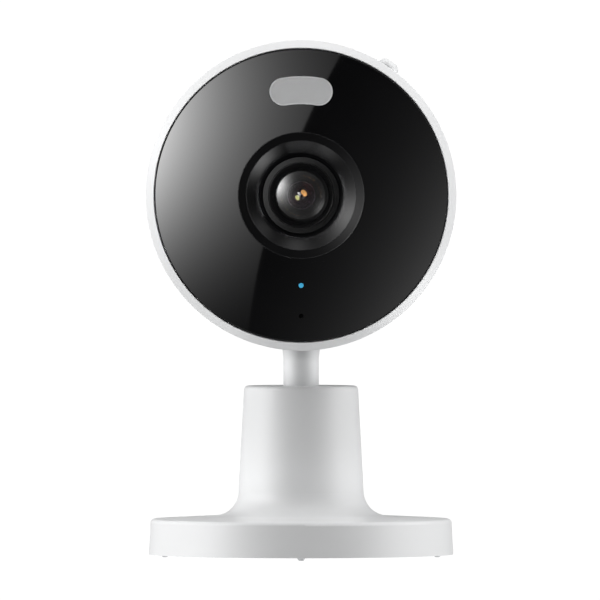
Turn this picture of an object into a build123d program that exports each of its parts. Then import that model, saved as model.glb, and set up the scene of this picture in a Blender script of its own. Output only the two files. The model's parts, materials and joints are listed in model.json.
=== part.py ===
"""Indoor security camera: a round camera head that tilts on a stem, and a stem that turns in a pedestal.

Frame: millimetres, +Z up, origin at the centre of the feet on the table. The lens looks along -Y,
and +X is on the right of somebody who faces the lens. The lens axis lies over the origin.
"""

from build123d import *
from math import cos, hypot, radians, sin, sqrt
import os

# ---- driving dimensions: whole object -------------------------------------------------------------
HEAD_Z = 79.6  # height of the lens axis above the table
HEAD_R = 34.0  # outer radius of the camera head
HEAD_FRONT = -17.5  # depth of the front rim
HEAD_BACK = 19.5  # depth of the middle of the back
WALL = 2.0  # plastic wall thickness
GAP = 0.05  # assembly gap between parts that are pushed together by hand

# ---- base and stem --------------------------------------------------------------------------------
FOOT_H = 0.6  # how far the pips stand out of the foot pad
SHELL_FOOT_Z = 0.65  # bottom edge of the pedestal shell
BASE_R = 33.45
BASE_TOP_R = 33.02
BASE_EDGE_Z = 8.42
COLUMN_FOOT_R = 14.0
COLUMN_FOOT_Z = 9.37
COLUMN_TOP_R = 12.5
COLUMN_TOP_Z = 37.7
STEM_R = 3.9
STEM_HOLE_R = 4.3
STEM_FOOT_Z = 22.0
STEM_TOP_Z = 43.8
BUSH_R = 6.0
BUSH_TOP_Z = 35.4
BUSH_FOOT_Z = 24.0
PLATE_R = 31.2
PLATE_BOTTOM_Z = 1.1
PLATE_TOP_Z = 2.4
BASE_SCREW_RING_R = 24.0
BASE_SCREW_ANGLES = (45, 135, 225, 315)
TRIPOD_BORE_R = 2.6  # minor radius of the quarter-inch camera thread
TRIPOD_DEPTH = 6.9
PIP_RING_R = 29.9
PIP_ANGLES = (0, 90, 180, 270)

# ---- tilt hinge ------------------------------------------------------------------------------------
HINGE_Z = 54.0  # height of the tilt axis, which runs along X through the stem axis
NECK_R = 4.15
KNUCKLE_R = 5.0
KNUCKLE_HALF = 4.3  # half the knuckle's width along the tilt axis
PIN_R = 1.5
WASHER_T = 0.6
EAR_IN = KNUCKLE_HALF + WASHER_T + 2 * GAP  # inner face of the head's hinge ears
EAR_T = 1.8
BRACKET_FOOT_Z = 50.6
BRACKET_T = 1.6
BRACKET_SCREW_X = 22.0  # distance between the screws across the head
BRACKET_SCREW_Y = 5.6
SLOT_W = 9.4  # slot in the bottom of the head that the neck swings in
SLOT_FRONT = -10.6
SLOT_BACK = 15.6

# ---- head shells -----------------------------------------------------------------------------------
SPLIT_Y = -12.0  # parting line between the front ring and the rear housing
RIM_IN_R = 32.25
RIM_BEVEL = 1.6  # slope round the front edge of the head
FLANGE_FRONT = -15.0
FLANGE_BACK = -13.0
BACK_CORNER_R = 12.0
BACK_CORNER_Y = 5.0
BOSS_RING_R = 28.6
BOSS_R = 3.0
BOSS_SHOULDER_R = 4.0
HEAD_SCREW_ANGLES = (18, 162, 225, 315)

# ---- front face ------------------------------------------------------------------------------------
FACE_R = 32.0
FACE_FRONT = -17.05
FACE_BACK = -15.3
BEZEL_R = 13.84
WINDOW_ARC_R = 23.02
WINDOW_H = 6.26
WINDOW_HALF_ANGLE = 9.6
LED_DROP = 19.7  # below the lens axis
LED_R = 0.55
MIC_DROP = 26.4
MIC_R = 0.5

# ---- optics, depths along the lens axis ------------------------------------------------------------
BARREL_R = 7.03
BARREL_FRONT = -13.6
BARREL_SHOULDER = -11.0
THREAD_R = 5.98
BARREL_REAR = -5.2
GLASS_R = 5.56
GLASS_POLE = -15.35

# ---- circuit boards --------------------------------------------------------------------------------
FRONT_BOARD_FRONT = -12.4
FRONT_BOARD_BACK = -11.4
MAIN_BOARD_FRONT = 0.0
MAIN_BOARD_BACK = 1.2
MAIN_BOARD_R = 29.0
MAIN_BOARD_CUT = -17.5  # bottom edge of the main board below the lens axis
POSTS = ((-20.5, 12.0), (20.5, 12.0), (-18.5, -12.5), (18.5, -12.5))
POWER_BOARD_TOP = -13.75  # below the lens axis
USB_CENTRE = -12.1
CARD_CENTRE = -3.5  # memory card slot, below the lens axis

# ---- day-and-night filter --------------------------------------------------------------------------
FILTER_PITCH = 7.0  # distance between the two filter glasses, and the travel of the carriage
FILTER_SIDE = 6.0
COIL_DROP = 11.5

# ---- side button, seen from the front: degrees clockwise from the top ---------------------------------
BUTTON_ANGLE = 34.3
BUTTON_Y = -3.5
BUTTON_R = 2.35
BUTTON_OUT = 1.35
BUTTON_EDGE_R = 1.4

# ---- speaker, above the lens axis ----------------------------------------------------------------
SPEAKER_RISE = 13.5
SPEAKER_R = 9.5
SPEAKER_SEAT_Y = 14.9

LENS_AXIS = Axis((0, 0, HEAD_Z), (0, 1, 0))
HEAD_SECTION = Plane(origin=(0, 0, HEAD_Z), x_dir=(0, 1, 0), z_dir=(1, 0, 0))
os.makedirs("parts", exist_ok=True)
HINGE_PLANE = Plane(origin=(0, 0, HINGE_Z), x_dir=(0, 1, 0), z_dir=(1, 0, 0))


def facing_front(y):
    """Plane across the head at depth y: local x is +X, local y is +Z, the normal points to the front."""
    return Plane(origin=(0, y, HEAD_Z), x_dir=(1, 0, 0), z_dir=(0, -1, 0))


def hinge_plane(x):
    """Plane across the tilt axis at x: local x is +Y, local y is +Z and the normal is +X."""
    return HINGE_PLANE.offset(x)


def card_plane(x):
    """Plane across the memory card's way in at x: local x is +Y, local y is +Z and the normal is +X."""
    return Plane(origin=(x, -1.0, HEAD_Z + CARD_CENTRE), x_dir=(0, 1, 0), z_dir=(1, 0, 0))


def on_ring(radius, angles):
    """Places on a ring at the given angles, as local (x, y) pairs."""
    return [(radius * cos(radians(a)), radius * sin(radians(a))) for a in angles]


# ====================================================================================================
# Base: pedestal shell, bottom cover, foot pad, ballast and the bearing of the stem
# ====================================================================================================
with BuildPart() as base_shell:
    with BuildSketch(Plane.XZ) as shell_section:
        with BuildLine():
            Polyline(
                (STEM_HOLE_R, COLUMN_TOP_Z),
                (COLUMN_TOP_R, COLUMN_TOP_Z),
                (COLUMN_FOOT_R, COLUMN_FOOT_Z),
                (BASE_TOP_R, BASE_EDGE_Z),
                (BASE_R, SHELL_FOOT_Z),
                (BASE_R - WALL, SHELL_FOOT_Z),
                (BASE_TOP_R - WALL, BASE_EDGE_Z - WALL),
                (COLUMN_FOOT_R - WALL, COLUMN_FOOT_Z - WALL),
                (COLUMN_TOP_R - WALL, BUSH_TOP_Z),
                (BUSH_R + WALL, BUSH_TOP_Z),
                (BUSH_R + WALL, BUSH_FOOT_Z),
                (BUSH_R, BUSH_FOOT_Z),
                (BUSH_R, BUSH_TOP_Z),
                (STEM_HOLE_R, BUSH_TOP_Z),
                close=True,
            )
        make_face()
        for corner, radius in (
            ((COLUMN_FOOT_R, COLUMN_FOOT_Z), 5.5),
            ((COLUMN_FOOT_R - WALL, COLUMN_FOOT_Z - WALL), 3.5),
            ((COLUMN_TOP_R, COLUMN_TOP_Z), 0.9),
            ((BASE_TOP_R, BASE_EDGE_Z), 0.9),
            ((STEM_HOLE_R, COLUMN_TOP_Z), 0.3),
        ):
            fillet(shell_section.vertices().sort_by_distance(corner)[0], radius)
    revolve(axis=Axis.Z)
    with BuildSketch(Plane.XY.offset(PLATE_TOP_Z)):
        with Locations(*on_ring(BASE_SCREW_RING_R, BASE_SCREW_ANGLES)):
            Circle(3.2)
            Circle(0.9, mode=Mode.SUBTRACT)
    extrude(amount=BASE_EDGE_Z - WALL + 0.6 - PLATE_TOP_Z)
base_shell.part.label = "base_shell"
export_step(base_shell.part, "parts/base_shell.step")

with BuildPart() as base_plate:
    with BuildSketch(Plane.XY.offset(PLATE_BOTTOM_Z)):
        Circle(PLATE_R)
    extrude(amount=PLATE_TOP_Z - PLATE_BOTTOM_Z)
    with BuildSketch(Plane.XY.offset(PLATE_TOP_Z)):
        Circle(7.0)
    extrude(amount=7.0)
    with BuildSketch(Plane.XY.offset(PLATE_BOTTOM_Z)):
        Circle(4.0)
    extrude(amount=TRIPOD_DEPTH + 0.1, mode=Mode.SUBTRACT)
    with Locations(Plane(origin=(0, 0, PLATE_BOTTOM_Z), x_dir=(1, 0, 0), z_dir=(0, 0, -1))):
        with Locations(*on_ring(BASE_SCREW_RING_R, BASE_SCREW_ANGLES)):
            CounterSinkHole(radius=1.3, counter_sink_radius=2.4, depth=PLATE_TOP_Z - PLATE_BOTTOM_Z)
base_plate.part.label = "base_plate"
export_step(base_plate.part, "parts/base_plate.step")

with BuildPart() as base_screws:
    for x, y in on_ring(BASE_SCREW_RING_R, BASE_SCREW_ANGLES):
        with Locations((x, y, PLATE_BOTTOM_Z + GAP)):
            Cone(2.2, 1.0, 1.2, align=(Align.CENTER, Align.CENTER, Align.MIN))
        with Locations((x, y, PLATE_BOTTOM_Z + 1.2)):
            Cylinder(0.88, 4.0, align=(Align.CENTER, Align.CENTER, Align.MIN))
        with Locations((x, y, PLATE_BOTTOM_Z)):
            Box(2.0, 0.5, 0.9, align=(Align.CENTER, Align.CENTER, Align.MIN), mode=Mode.SUBTRACT)
            Box(0.5, 2.0, 0.9, align=(Align.CENTER, Align.CENTER, Align.MIN), mode=Mode.SUBTRACT)
base_screws.part.label = "base_screws"
export_step(base_screws.part, "parts/base_screws.step")

with BuildPart() as tripod_insert:
    with BuildSketch(Plane.XY.offset(PLATE_BOTTOM_Z)):
        Circle(4.0 - GAP)
        Circle(TRIPOD_BORE_R, mode=Mode.SUBTRACT)
    extrude(amount=TRIPOD_DEPTH)
tripod_insert.part.label = "tripod_insert"
export_step(tripod_insert.part, "parts/tripod_insert.step")

with BuildPart() as ballast_weight:
    with BuildSketch(Plane.XY.offset(PLATE_TOP_Z)):
        Circle(30.0)
        Circle(9.0, mode=Mode.SUBTRACT)
        with Locations(*on_ring(BASE_SCREW_RING_R, BASE_SCREW_ANGLES)):
            Circle(3.6, mode=Mode.SUBTRACT)
    extrude(amount=3.2)
    chamfer(ballast_weight.edges().group_by(Axis.Z)[-1], 0.3)
ballast_weight.part.label = "ballast_weight"
export_step(ballast_weight.part, "parts/ballast_weight.step")

with BuildPart() as foot_pad:
    with BuildSketch(Plane.XY.offset(FOOT_H)):
        Circle(PLATE_R)
        Circle(5.0, mode=Mode.SUBTRACT)
    extrude(amount=PLATE_BOTTOM_Z - FOOT_H)
    for x, y in on_ring(PIP_RING_R, PIP_ANGLES):
        with Locations((x, y, 0)):
            Cone(0.5, 0.95, FOOT_H, align=(Align.CENTER, Align.CENTER, Align.MIN))
foot_pad.part.label = "foot_pad"
export_step(foot_pad.part, "parts/foot_pad.step")

with BuildPart() as pan_bush:
    with BuildSketch(Plane.XZ):
        with BuildLine():
            Polyline(
                (STEM_R + GAP, BUSH_TOP_Z),
                (BUSH_R - GAP, BUSH_TOP_Z),
                (BUSH_R - GAP, BUSH_FOOT_Z),
                (BUSH_R + WALL, BUSH_FOOT_Z),
                (BUSH_R + WALL, BUSH_FOOT_Z - 1.2),
                (STEM_R + GAP, BUSH_FOOT_Z - 1.2),
                close=True,
            )
        make_face()
    revolve(axis=Axis.Z)
pan_bush.part.label = "pan_bush"
export_step(pan_bush.part, "parts/pan_bush.step")

# ====================================================================================================
# Stem: tube, neck, tie screw and the spring that gives the turning friction
# ====================================================================================================
with BuildPart() as stem_tube:
    with BuildSketch(Plane.XY.offset(STEM_FOOT_Z)):
        Circle(STEM_R)
        Circle(1.6, mode=Mode.SUBTRACT)
    extrude(amount=STEM_TOP_Z - STEM_FOOT_Z)
    with BuildSketch(Plane.XY.offset(STEM_TOP_Z - 6.0)):
        Circle(2.75)
    extrude(amount=6.0, mode=Mode.SUBTRACT)
    chamfer(stem_tube.edges().filter_by(GeomType.CIRCLE).group_by(Axis.Z)[0].sort_by(SortBy.RADIUS)[-1], 0.4)
stem_tube.part.label = "stem_tube"
export_step(stem_tube.part, "parts/stem_tube.step")

with BuildPart() as retaining_washer:
    with BuildSketch(Plane.XY.offset(STEM_FOOT_Z - 1.2)):
        Circle(6.8)
        Circle(1.6, mode=Mode.SUBTRACT)
    extrude(amount=1.2)
retaining_washer.part.label = "retaining_washer"
export_step(retaining_washer.part, "parts/retaining_washer.step")

with BuildPart() as disc_spring:
    with BuildSketch(Plane.XZ):
        with BuildLine():
            Polyline((4.4, 22.05), (6.9, 22.38), (6.9, 22.75), (4.4, 22.42), close=True)
        make_face()
    revolve(axis=Axis.Z)
disc_spring.part.label = "disc_spring"
export_step(disc_spring.part, "parts/disc_spring.step")

with BuildPart() as tie_screw:
    with Locations((0, 0, STEM_FOOT_Z - 1.2)):
        Cylinder(2.8, 2.0, align=(Align.CENTER, Align.CENTER, Align.MAX))
        Cylinder(PIN_R, 25.0, align=(Align.CENTER, Align.CENTER, Align.MIN))
    fillet(tie_screw.edges().group_by(Axis.Z)[0], 0.6)
    with BuildSketch(Plane.XY.offset(STEM_FOOT_Z - 3.2)):
        RegularPolygon(1.25, 6)
    extrude(amount=1.2, mode=Mode.SUBTRACT)
tie_screw.part.label = "tie_screw"
export_step(tie_screw.part, "parts/tie_screw.step")

with BuildPart() as hinge_neck:
    with BuildSketch(Plane.XZ):
        with BuildLine():
            Polyline(
                (0, STEM_TOP_Z - 5.8),
                (2.7, STEM_TOP_Z - 5.8),
                (2.7, STEM_TOP_Z),
                (STEM_R, STEM_TOP_Z),
                (NECK_R, STEM_TOP_Z + 2.2),
                (NECK_R, HINGE_Z),
                (0, HINGE_Z),
                close=True,
            )
        make_face()
    revolve(axis=Axis.Z)
    with BuildSketch(hinge_plane(-KNUCKLE_HALF)):
        Circle(KNUCKLE_R)
    extrude(amount=2 * KNUCKLE_HALF)
    with BuildSketch(hinge_plane(-KNUCKLE_HALF)):
        Circle(PIN_R + GAP)
    extrude(amount=2 * KNUCKLE_HALF, mode=Mode.SUBTRACT)
    with BuildSketch(Plane.XY.offset(STEM_TOP_Z - 5.8)):
        Circle(PIN_R + 0.02)
    extrude(amount=9.0, mode=Mode.SUBTRACT)
hinge_neck.part.label = "hinge_neck"
export_step(hinge_neck.part, "parts/hinge_neck.step")

with BuildPart() as hinge_washers:
    for x in (-KNUCKLE_HALF - WASHER_T - GAP, KNUCKLE_HALF + GAP):
        with BuildSketch(hinge_plane(x)):
            Circle(4.4)
            Circle(PIN_R + GAP, mode=Mode.SUBTRACT)
        extrude(amount=WASHER_T)
hinge_washers.part.label = "hinge_washers"
export_step(hinge_washers.part, "parts/hinge_washers.step")

# ====================================================================================================
# Hinge hardware that stays with the head
# ====================================================================================================
with BuildPart() as hinge_brackets:
    for side in (-1, 1):
        inner = EAR_IN if side > 0 else -EAR_IN - EAR_T
        with BuildSketch(hinge_plane(inner)):
            Circle(KNUCKLE_R)
            with Locations((0, (BRACKET_FOOT_Z - HINGE_Z) / 2)):
                Rectangle(2 * KNUCKLE_R, HINGE_Z - BRACKET_FOOT_Z)
            Circle(PIN_R + 0.02, mode=Mode.SUBTRACT)
        extrude(amount=EAR_T)
        with BuildSketch(Plane.XY.offset(BRACKET_FOOT_Z)):
            with Locations((side * (EAR_IN + 4.2), 0)):
                RectangleRounded(8.4, 2 * KNUCKLE_R, 1.0)
            with Locations((side * (EAR_IN + EAR_T + 1.4), 0)):
                Rectangle(2.8, 6.4, mode=Mode.SUBTRACT)
            with GridLocations(BRACKET_SCREW_X, BRACKET_SCREW_Y, 2, 2):
                Circle(1.05, mode=Mode.SUBTRACT)
        extrude(amount=BRACKET_T)
hinge_brackets.part.label = "hinge_brackets"
export_step(hinge_brackets.part, "parts/hinge_brackets.step")

with BuildPart() as bracket_screws:
    with BuildSketch(Plane.XY.offset(BRACKET_FOOT_Z + BRACKET_T)):
        with GridLocations(BRACKET_SCREW_X, BRACKET_SCREW_Y, 2, 2):
            Circle(1.7)
            RegularPolygon(0.75, 6, mode=Mode.SUBTRACT)
    extrude(amount=1.1)
    with BuildSketch(Plane.XY.offset(BRACKET_FOOT_Z + BRACKET_T)):
        with GridLocations(BRACKET_SCREW_X, BRACKET_SCREW_Y, 2, 2):
            Circle(1.7)
    extrude(amount=0.4)
    with BuildSketch(Plane.XY.offset(BRACKET_FOOT_Z + BRACKET_T)):
        with GridLocations(BRACKET_SCREW_X, BRACKET_SCREW_Y, 2, 2):
            Circle(0.78)
    extrude(amount=-3.2)
bracket_screws.part.label = "bracket_screws"
export_step(bracket_screws.part, "parts/bracket_screws.step")

EAR_OUT = EAR_IN + EAR_T
with BuildPart() as hinge_bolt:
    with BuildSketch(hinge_plane(-EAR_OUT)):
        Circle(PIN_R)
    extrude(amount=2 * EAR_OUT + 2.6)
    with BuildSketch(hinge_plane(-EAR_OUT)):
        Circle(2.8)
    extrude(amount=-1.7)
    fillet(hinge_bolt.edges().group_by(Axis.X)[0], 0.5)
    with BuildSketch(hinge_plane(-EAR_OUT - 1.7)):
        RegularPolygon(1.25, 6)
    extrude(amount=1.0, mode=Mode.SUBTRACT)
    with BuildSketch(hinge_plane(EAR_OUT)):
        RegularPolygon(3.0, 6)
    extrude(amount=2.2)
hinge_bolt.part.label = "hinge_bolt"
export_step(hinge_bolt.part, "parts/hinge_bolt.step")


# ====================================================================================================
# Head shells
# ====================================================================================================
def housing_section(inset):
    """Half section of the rear housing's outside, moved inwards: side, round corner and domed back."""
    side_r = HEAD_R - inset
    corner_r = BACK_CORNER_R - inset
    centre_r = HEAD_R - BACK_CORNER_R
    # the back is a sphere on the lens axis that meets the corner arc without a kink
    run = HEAD_BACK - BACK_CORNER_Y
    ball_r = (centre_r**2 + run**2 - BACK_CORNER_R**2) / (2 * (run - BACK_CORNER_R))
    ball_y = HEAD_BACK - ball_r
    reach = hypot(BACK_CORNER_Y - ball_y, centre_r)
    along, out = (BACK_CORNER_Y - ball_y) / reach, centre_r / reach
    back_r = ball_r - inset
    meet = (ball_y + back_r * along, back_r * out)
    half = sqrt(0.5)
    middle_out = out / 2
    with BuildSketch(HEAD_SECTION) as section:
        with BuildLine():
            Line((SPLIT_Y, 0), (SPLIT_Y, side_r))
            Line((SPLIT_Y, side_r), (BACK_CORNER_Y, side_r))
            ThreePointArc(
                (BACK_CORNER_Y, side_r),
                (BACK_CORNER_Y + corner_r * half, centre_r + corner_r * half),
                meet,
            )
            ThreePointArc(
                meet,
                (ball_y + back_r * sqrt(1 - middle_out**2), back_r * middle_out),
                (ball_y + back_r, 0),
            )
            Line((ball_y + back_r, 0), (SPLIT_Y, 0))
        make_face()
    return section.sketch


outer_section = housing_section(0)
inner_section = housing_section(WALL)
button_out = (sin(radians(BUTTON_ANGLE)), cos(radians(BUTTON_ANGLE)))


def button_plane(radius):
    """Plane across the button's travel at a distance from the lens axis: the normal points outwards."""
    return Plane(
        origin=(radius * button_out[0], BUTTON_Y, HEAD_Z + radius * button_out[1]),
        x_dir=(0, 1, 0),
        z_dir=(button_out[0], 0, button_out[1]),
    )


def speaker_holes():
    """Places of the sound holes: rings of 1, 6, 12 and 18 around the speaker's middle."""
    places = [(0, SPEAKER_RISE)]
    for ring in (1, 2, 3):
        for step in range(6 * ring):
            angle = radians(60 * step / ring)
            places.append((2.35 * ring * cos(angle), SPEAKER_RISE + 2.35 * ring * sin(angle)))
    return places


with BuildPart() as rear_housing:
    revolve(outer_section, axis=LENS_AXIS)
    revolve(inner_section, axis=LENS_AXIS, mode=Mode.SUBTRACT)
    # screw bosses, board posts, power board rests and the speaker seat all stand on the back wall
    with BuildSketch(facing_front(14.0)):
        with Locations(*on_ring(BOSS_RING_R, HEAD_SCREW_ANGLES)):
            Circle(BOSS_R)
    extrude(amount=14.0 - FLANGE_BACK)
    with BuildSketch(facing_front(14.0)):
        with Locations(*on_ring(BOSS_RING_R, HEAD_SCREW_ANGLES)):
            Circle(BOSS_SHOULDER_R)
    extrude(amount=14.0 - FRONT_BOARD_BACK)
    with BuildSketch(facing_front(18.0)):
        with Locations(*POSTS):
            Circle(2.2)
    extrude(amount=18.0 - MAIN_BOARD_BACK)
    with BuildSketch(facing_front(18.5)):
        with Locations((0, SPEAKER_RISE)):
            Circle(SPEAKER_R + 0.6)
            Circle(SPEAKER_R - 1.4, mode=Mode.SUBTRACT)
        with Locations((-8.0, POWER_BOARD_TOP - 2.1), (8.0, POWER_BOARD_TOP - 2.1)):
            Rectangle(4.0, 2.0)
    extrude(amount=18.5 - SPEAKER_SEAT_Y)
    with BuildSketch(Plane.XY.offset(BRACKET_FOOT_Z)):
        with GridLocations(BRACKET_SCREW_X, BRACKET_SCREW_Y, 2, 2):
            Circle(2.1)
    extrude(amount=-1.95)
    revolve(outer_section, axis=LENS_AXIS, mode=Mode.INTERSECT)
    # pilot holes
    with BuildSketch(facing_front(FLANGE_BACK)):
        with Locations(*on_ring(BOSS_RING_R, HEAD_SCREW_ANGLES)):
            Circle(0.9)
    extrude(amount=-12.0, mode=Mode.SUBTRACT)
    with BuildSketch(facing_front(MAIN_BOARD_BACK)):
        with Locations(*POSTS):
            Circle(0.8)
    extrude(amount=-6.0, mode=Mode.SUBTRACT)
    with BuildSketch(Plane.XY.offset(BRACKET_FOOT_Z)):
        with GridLocations(BRACKET_SCREW_X, BRACKET_SCREW_Y, 2, 2):
            Circle(0.8)
    extrude(amount=-1.7, mode=Mode.SUBTRACT)
    # slot for the neck, sockets, reset hole, sound holes and the button's hole
    with BuildSketch(Plane.XY.offset(HEAD_Z - HEAD_R - 1.0)):
        with Locations((0, (SLOT_FRONT + SLOT_BACK) / 2)):
            RectangleRounded(SLOT_W, SLOT_BACK - SLOT_FRONT, 3.5)
    extrude(amount=9.0, mode=Mode.SUBTRACT)
    with BuildSketch(facing_front(HEAD_BACK + 1)):
        with Locations((0, USB_CENTRE)):
            RectangleRounded(9.5, 3.8, 1.85)
        with Locations((9.5, USB_CENTRE)):
            Circle(0.6)
        with Locations(*speaker_holes()):
            Circle(0.65)
    extrude(amount=6.0, mode=Mode.SUBTRACT)
    with BuildSketch(card_plane(-HEAD_R - 1)):
        RectangleRounded(1.6, 12.2, 0.7)
    extrude(amount=4.0, mode=Mode.SUBTRACT)
    with BuildSketch(button_plane(HEAD_R - WALL - 1)):
        Circle(BUTTON_R + 0.08)
    extrude(amount=5.0, mode=Mode.SUBTRACT)
rear_housing.part.label = "rear_housing"
export_step(rear_housing.part, "parts/rear_housing.step")

with BuildPart() as front_ring:
    with BuildSketch(HEAD_SECTION) as ring_section:
        with BuildLine():
            Polyline(
                (SPLIT_Y, HEAD_R),
                (HEAD_FRONT + RIM_BEVEL, HEAD_R),
                (HEAD_FRONT, HEAD_R - RIM_BEVEL),
                (HEAD_FRONT, RIM_IN_R),
                (FLANGE_FRONT, RIM_IN_R),
                (FLANGE_FRONT, 30.2),
                (FLANGE_BACK, 30.2),
                (FLANGE_BACK, 30.8),
                (-10.0, 30.8),
                (-10.0, HEAD_R - WALL - GAP),
                (SPLIT_Y, HEAD_R - WALL - GAP),
                close=True,
            )
        make_face()
        fillet(ring_section.vertices().sort_by_distance((HEAD_FRONT + RIM_BEVEL, HEAD_R))[0], 0.5)
        fillet(ring_section.vertices().sort_by_distance((HEAD_FRONT, HEAD_R - RIM_BEVEL))[0], 0.2)
        chamfer(ring_section.vertices().sort_by_distance((HEAD_FRONT, RIM_IN_R))[0], 0.05)
    revolve(axis=LENS_AXIS)
    with BuildSketch(facing_front(FLANGE_BACK)):
        with Locations(*on_ring(BOSS_RING_R, HEAD_SCREW_ANGLES)):
            Circle(BOSS_SHOULDER_R + 0.1)
    extrude(amount=-3.0, mode=Mode.SUBTRACT)
    with BuildSketch(facing_front(FLANGE_BACK)):
        with Locations(*on_ring(BOSS_RING_R, HEAD_SCREW_ANGLES)):
            Circle(3.4)
    extrude(amount=FLANGE_BACK - FLANGE_FRONT)
    with BuildSketch(facing_front(FLANGE_BACK)):
        with Locations(*on_ring(BOSS_RING_R, HEAD_SCREW_ANGLES)):
            Circle(1.15)
    extrude(amount=FLANGE_BACK - FLANGE_FRONT, mode=Mode.SUBTRACT)
    with BuildSketch(facing_front(FLANGE_FRONT)):
        with Locations(*on_ring(BOSS_RING_R, HEAD_SCREW_ANGLES)):
            Circle(2.2)
    extrude(amount=-1.3, mode=Mode.SUBTRACT)
front_ring.part.label = "front_ring"
export_step(front_ring.part, "parts/front_ring.step")

with BuildPart() as housing_screws:
    with BuildSketch(facing_front(FLANGE_FRONT + 1.3)):
        with Locations(*on_ring(BOSS_RING_R, HEAD_SCREW_ANGLES)):
            Circle(2.0)
    extrude(amount=1.2)
    with BuildSketch(facing_front(FLANGE_FRONT + 1.3)):
        with Locations(*on_ring(BOSS_RING_R, HEAD_SCREW_ANGLES)):
            Circle(0.88)
    extrude(amount=-9.0)
    with BuildSketch(facing_front(FLANGE_FRONT + 0.1)):
        with Locations(*on_ring(BOSS_RING_R, HEAD_SCREW_ANGLES)):
            RegularPolygon(0.9, 6)
    extrude(amount=-0.8, mode=Mode.SUBTRACT)
housing_screws.part.label = "housing_screws"
export_step(housing_screws.part, "parts/housing_screws.step")

# ====================================================================================================
# Front face
# ====================================================================================================

WINDOW_ARC = CenterArc((0, 0), WINDOW_ARC_R, 90 - WINDOW_HALF_ANGLE, 2 * WINDOW_HALF_ANGLE)


def window_slot(margin, mode=Mode.ADD):
    """Curved slot with round ends, on an arc about the lens axis and grown by margin all round."""
    SlotArc(WINDOW_ARC, WINDOW_H + 2 * margin, mode=mode)


with BuildPart() as face_adhesive:
    with BuildSketch(facing_front(FLANGE_FRONT)):
        Circle(RIM_IN_R - 0.3)
        Circle(30.4, mode=Mode.SUBTRACT)
    extrude(amount=FLANGE_FRONT - FACE_BACK)
face_adhesive.part.label = "face_adhesive"
export_step(face_adhesive.part, "parts/face_adhesive.step")

with BuildPart() as face_cover:
    with BuildSketch(facing_front(FACE_BACK)):
        Circle(FACE_R)
        Circle(BEZEL_R + GAP, mode=Mode.SUBTRACT)
        window_slot(0, mode=Mode.SUBTRACT)
        with Locations((0, -LED_DROP)):
            Circle(LED_R, mode=Mode.SUBTRACT)
        with Locations((0, -MIC_DROP)):
            Circle(MIC_R, mode=Mode.SUBTRACT)
    extrude(amount=FACE_BACK - FACE_FRONT)
    rims = face_cover.edges().group_by(Axis.Y)[0].filter_by(GeomType.CIRCLE)
    chamfer(rims.sort_by(SortBy.RADIUS)[-1], 0.15)
face_cover.part.label = "face_cover"
export_step(face_cover.part, "parts/face_cover.step")

with BuildPart() as light_window:
    with BuildSketch(facing_front(FACE_BACK)):
        window_slot(-GAP)
    extrude(amount=FACE_BACK - FACE_FRONT - 0.03)
    chamfer(light_window.edges().group_by(Axis.Y)[0], 0.2)
    with BuildSketch(facing_front(FACE_BACK + 0.7)):
        window_slot(1.2)
    extrude(amount=0.7)
light_window.part.label = "light_window"
export_step(light_window.part, "parts/light_window.step")

with BuildPart() as light_baffle:
    with BuildSketch(facing_front(FRONT_BOARD_FRONT)):
        window_slot(1.2)
        window_slot(0.2, mode=Mode.SUBTRACT)
    extrude(amount=FRONT_BOARD_FRONT - FACE_BACK - 0.7)
light_baffle.part.label = "light_baffle"
export_step(light_baffle.part, "parts/light_baffle.step")

with BuildPart() as lens_bezel:
    with BuildSketch(HEAD_SECTION):
        with BuildLine():
            Polyline(
                (FACE_FRONT, BEZEL_R),
                (FACE_FRONT + 0.12, BEZEL_R - 0.12),
                (FACE_FRONT + 0.8, 12.08),
                (FACE_FRONT + 0.95, 11.94),
                (-12.9, 8.35),
                (-12.9, BARREL_R + 0.17),
                (-12.0, BARREL_R + 0.17),
                (-12.0, 9.5),
                (-14.5, 12.3),
                (-14.5, 15.6),
                (FACE_BACK, 15.6),
                (FACE_BACK, BEZEL_R),
                close=True,
            )
        make_face()
    revolve(axis=LENS_AXIS)
lens_bezel.part.label = "lens_bezel"
export_step(lens_bezel.part, "parts/lens_bezel.step")

with BuildPart() as status_light_pipe:
    with BuildSketch(facing_front(FRONT_BOARD_FRONT - 0.7)):
        with Locations((0, -LED_DROP)):
            Circle(LED_R - 0.03)
    extrude(amount=FRONT_BOARD_FRONT - 0.7 - FACE_FRONT)
    with BuildSketch(facing_front(FRONT_BOARD_FRONT - 0.7)):
        with Locations((0, -LED_DROP)):
            Circle(1.3)
    extrude(amount=FRONT_BOARD_FRONT - 0.7 - FACE_BACK)
status_light_pipe.part.label = "status_light_pipe"
export_step(status_light_pipe.part, "parts/status_light_pipe.step")

with BuildPart() as mic_boot:
    with BuildSketch(facing_front(FRONT_BOARD_FRONT)):
        with Locations((0, -MIC_DROP)):
            Circle(2.6)
    extrude(amount=FRONT_BOARD_FRONT - FACE_BACK)
    with BuildSketch(facing_front(FRONT_BOARD_FRONT)):
        with Locations((0, -MIC_DROP)):
            Circle(MIC_R)
    extrude(amount=FRONT_BOARD_FRONT - FACE_BACK, mode=Mode.SUBTRACT)
    with BuildSketch(facing_front(FRONT_BOARD_FRONT)):
        with Locations((0, -MIC_DROP)):
            Rectangle(3.6, 2.8)
    extrude(amount=1.05, mode=Mode.SUBTRACT)
mic_boot.part.label = "mic_boot"
export_step(mic_boot.part, "parts/mic_boot.step")

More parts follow.
